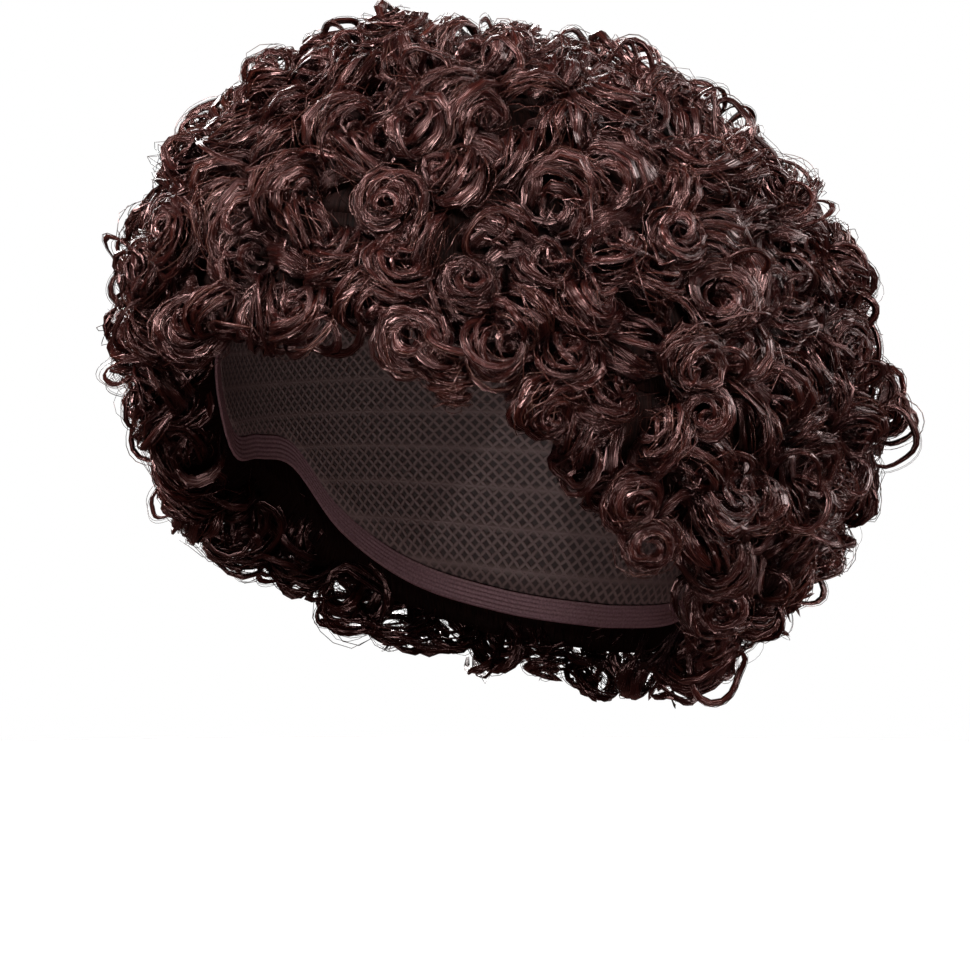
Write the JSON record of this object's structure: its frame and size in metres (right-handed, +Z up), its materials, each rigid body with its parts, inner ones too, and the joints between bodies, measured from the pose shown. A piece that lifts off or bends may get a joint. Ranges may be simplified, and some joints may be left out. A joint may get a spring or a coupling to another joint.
{
  "type": "short curly wig",
  "caption": "Short curly wig: rows of tight dark brown ringlets on a stretch-net cap with a ribbed elastic edge, open at the face and neck so that it sits on a head.",
  "frame": {"origin": "inside of the cap at the crown, where it rests on the top of the head", "axes": "+Z up, the face opening looks along -Y, the wearer's left is +X"},
  "size_m": [0.2522, 0.2766, 0.2313],
  "materials": {
    "cap_net": "fine knitted net",
    "elastic": "ribbed elastic",
    "hair": "curled synthetic fibre, satin"
  },
  "bodies": {
    "root": {"cap": "cap_net", "edge_band": "elastic", "hair_row_1": "hair", "hair_row_2": "hair", "hair_row_3": "hair", "hair_row_4": "hair"}
  },
  "joints": []
}
